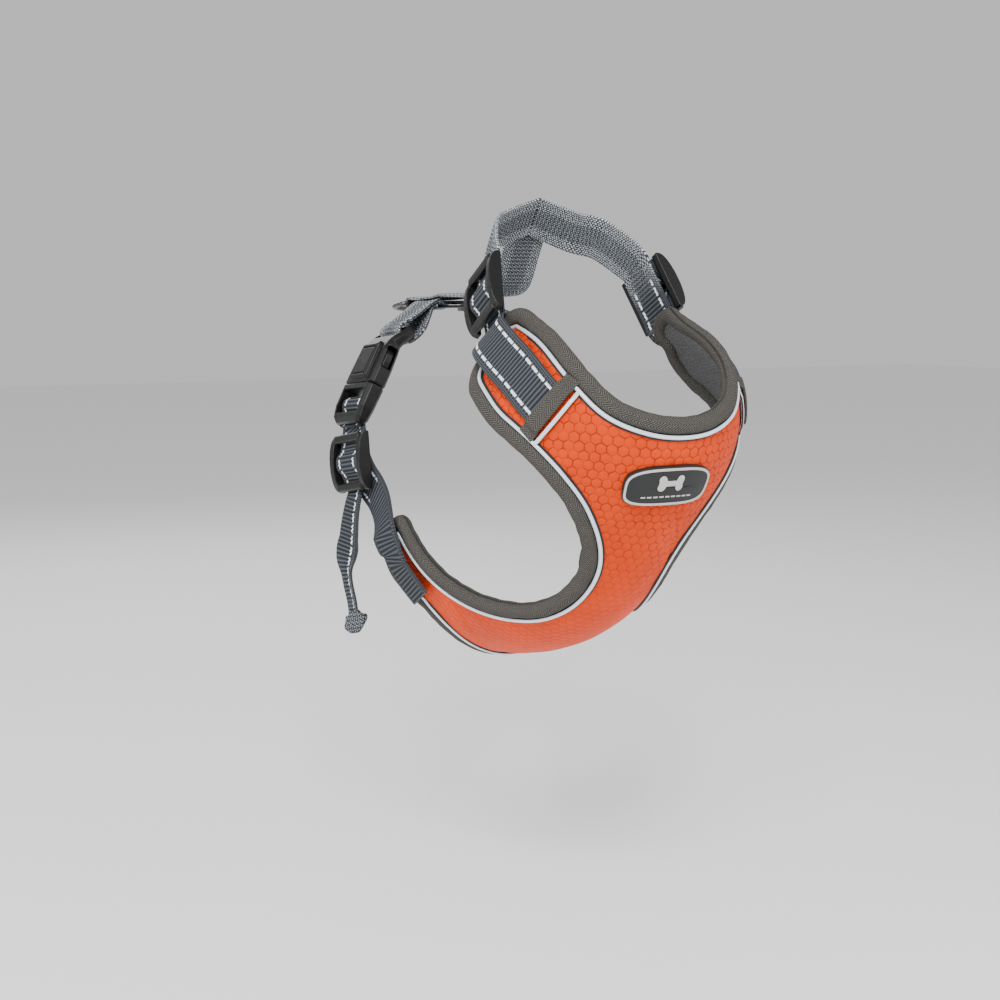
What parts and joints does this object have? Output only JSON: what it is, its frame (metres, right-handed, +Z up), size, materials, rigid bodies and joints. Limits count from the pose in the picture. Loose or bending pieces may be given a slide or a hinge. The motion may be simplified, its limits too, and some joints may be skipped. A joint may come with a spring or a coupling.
{
  "type": "no pull harness",
  "caption": "Dog harness with an orange padded chest panel, grey ribbed straps, side release buckles, tri-glides and a leash ring on the back.",
  "frame": {"origin": "the spot on the dog's back, on the midline behind the shoulders, that the ring's backing pad rests on", "axes": "+Z up, the dog faces -Y, the dog's right side is -X"},
  "size_m": [0.1798, 0.3071, 0.2579],
  "materials": {
    "orange": "hexagon embossed woven polyester, bright orange",
    "mesh_grey": "dark grey air mesh",
    "binding_grey": "warm grey herringbone twill tape",
    "reflective": "silver reflective piping",
    "webbing": "ribbed slate grey nylon webbing with reflective stitches",
    "black_plastic": "moulded acetal, satin black",
    "badge_black": "soft moulded rubber with a light outline",
    "steel": "black nickel plated welded steel"
  },
  "bodies": {
    "harness": {"chest_panel_lining": "mesh_grey", "chest_panel_fabric": "orange", "neck_binding": "binding_grey", "neck_piping": "reflective", "belly_binding": "binding_grey", "belly_piping": "reflective", "badge": "badge_black", "back_pad": "black_plastic", "spine_strap": "webbing", "armhole_binding_right": "binding_grey", "armhole_piping_right": "reflective", "neck_strap_right": "webbing", "arm_tape_right": "binding_grey", "arm_strip_right": "reflective", "buckle_female_right": "black_plastic", "back_loop_right": "webbing", "girth_strap_right": "webbing", "armhole_binding_left": "binding_grey", "armhole_piping_left": "reflective", "neck_strap_left": "webbing", "arm_tape_left": "binding_grey", "arm_strip_left": "reflective", "buckle_female_left": "black_plastic", "back_loop_left": "webbing", "girth_strap_left": "webbing"},
    "ring": {"d_ring": "steel"},
    "neck_adjuster_right": {"neck_glide_right": "black_plastic", "neck_glide_band_right": "webbing"},
    "male_half_right": {"buckle_male_right": "black_plastic"},
    "front_arm_right": {"release_arm_front_right": "black_plastic"},
    "rear_arm_right": {"release_arm_rear_right": "black_plastic"},
    "girth_adjuster_right": {"girth_glide_right": "black_plastic", "girth_glide_band_right": "webbing"},
    "tail_right": {"strap_tail_right": "webbing", "tail_end_tab_right": "webbing"},
    "neck_adjuster_left": {"neck_glide_left": "black_plastic", "neck_glide_band_left": "webbing"},
    "male_half_left": {"buckle_male_left": "black_plastic"},
    "front_arm_left": {"release_arm_front_left": "black_plastic"},
    "rear_arm_left": {"release_arm_rear_left": "black_plastic"},
    "girth_adjuster_left": {"girth_glide_left": "black_plastic", "girth_glide_band_left": "webbing"},
    "tail_left": {"strap_tail_left": "webbing", "tail_end_tab_left": "webbing"}
  },
  "joints": [
    {"name": "ring_swing", "type": "hinge", "parent": "harness", "child": "ring", "pos_m": [0, 0.027, 0.0019], "axis": [1, 0, 0], "range_deg": [0, 150]},
    {"name": "neck_adjust_right", "type": "slide", "parent": "harness", "child": "neck_adjuster_right", "axis": [0.1913, 0.4722, 0.8605], "range_m": [-0.003, 0.003]},
    {"name": "buckle_release_right", "type": "slide", "parent": "harness", "child": "male_half_right", "axis": [-0.4985, -0.1226, -0.8581], "range_m": [0, 0.03], "deforming": ["girth_strap_right", "release_arm_front_right", "release_arm_rear_right"]},
    {"name": "front_arm_press_right", "type": "hinge", "parent": "male_half_right", "child": "front_arm_right", "pos_m": [-0.06472, -0.03411, -0.04518], "axis": [-0.8645, -0.0026, 0.5026], "range_deg": [0, 12], "stiffness_Nm_per_rad": 0.2},
    {"name": "rear_arm_press_right", "type": "hinge", "parent": "male_half_right", "child": "rear_arm_right", "pos_m": [-0.06598, -0.01446, -0.04725], "axis": [0.8645, 0.0026, -0.5026], "range_deg": [0, 12], "stiffness_Nm_per_rad": 0.2},
    {"name": "girth_adjust_right", "type": "slide", "parent": "male_half_right", "child": "girth_adjuster_right", "axis": [-0.01, -0.1709, -0.9852], "range_m": [-0.003, 0.003]},
    {"name": "tail_swing_right", "type": "hinge", "parent": "girth_adjuster_right", "child": "tail_right", "pos_m": [-0.08153, -0.04471, -0.10791], "axis": [-0.0928, 0.9812, -0.1693], "range_deg": [0, 60]},
    {"name": "neck_adjust_left", "type": "slide", "parent": "harness", "child": "neck_adjuster_left", "axis": [-0.1913, 0.4722, 0.8605], "range_m": [-0.003, 0.003]},
    {"name": "buckle_release_left", "type": "slide", "parent": "harness", "child": "male_half_left", "axis": [0.4985, -0.1226, -0.8581], "range_m": [0, 0.03], "deforming": ["girth_strap_left", "release_arm_front_left", "release_arm_rear_left"]},
    {"name": "front_arm_press_left", "type": "hinge", "parent": "male_half_left", "child": "front_arm_left", "pos_m": [0.06472, -0.03411, -0.04518], "axis": [-0.8645, 0.0026, -0.5026], "range_deg": [0, 12], "stiffness_Nm_per_rad": 0.2},
    {"name": "rear_arm_press_left", "type": "hinge", "parent": "male_half_left", "child": "rear_arm_left", "pos_m": [0.06598, -0.01446, -0.04725], "axis": [0.8645, -0.0026, 0.5026], "range_deg": [0, 12], "stiffness_Nm_per_rad": 0.2},
    {"name": "girth_adjust_left", "type": "slide", "parent": "male_half_left", "child": "girth_adjuster_left", "axis": [0.01, -0.1709, -0.9852], "range_m": [-0.003, 0.003]},
    {"name": "tail_swing_left", "type": "hinge", "parent": "girth_adjuster_left", "child": "tail_left", "pos_m": [0.08153, -0.04471, -0.10791], "axis": [-0.0928, -0.9812, 0.1693], "range_deg": [0, 60]}
  ]
}
